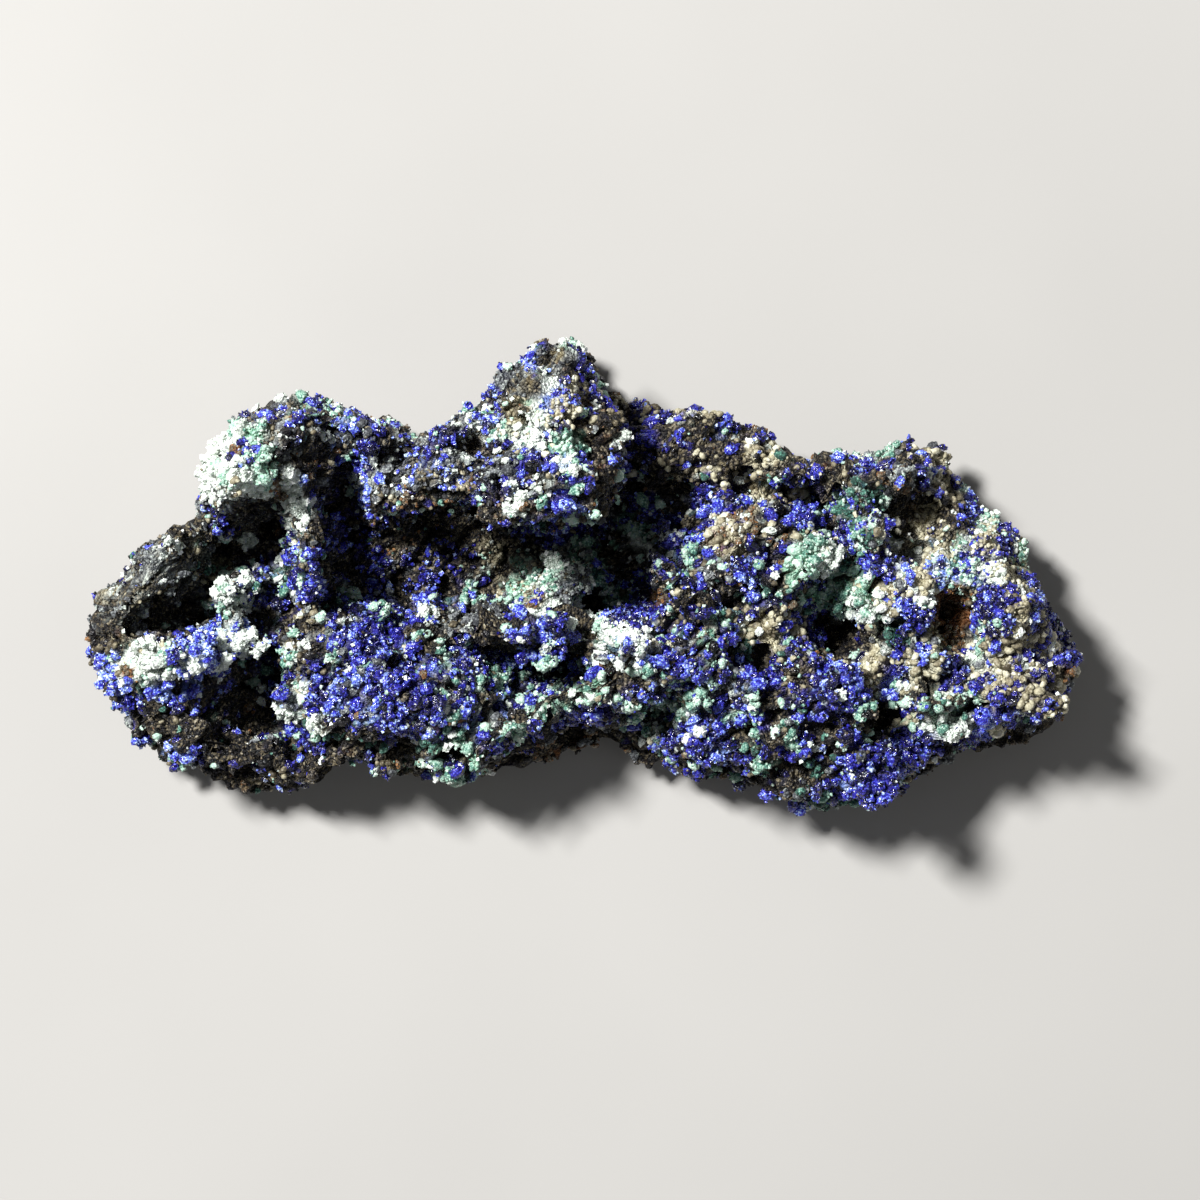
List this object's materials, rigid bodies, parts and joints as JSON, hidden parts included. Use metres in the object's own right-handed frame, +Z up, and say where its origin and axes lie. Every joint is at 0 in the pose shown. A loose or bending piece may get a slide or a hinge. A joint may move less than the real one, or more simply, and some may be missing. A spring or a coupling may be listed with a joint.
{
  "type": "azurite specimen",
  "caption": "Hand-sized mineral specimen: long rough rock crusted with azurite, malachite and pale round grains, with a knob that overhangs a dark hollow.",
  "frame": {"origin": "under the middle of the specimen, in the plane that it rests on", "axes": "+X along the specimen's length to its fan-shaped end, +Y across it to the side that the knob stands at, +Z up out of its crystallised face"},
  "size_m": [0.08, 0.0378, 0.025],
  "materials": {
    "host_rock": "rough broken limonite rock under a granular crust",
    "azurite": "small glassy deep blue crystals",
    "malachite": "velvety to earthy pale green grains",
    "pale_grains": "dull rounded cream grains",
    "white_crust": "chalky white crumbs"
  },
  "bodies": {
    "root": {"specimen": "host_rock"}
  },
  "joints": []
}
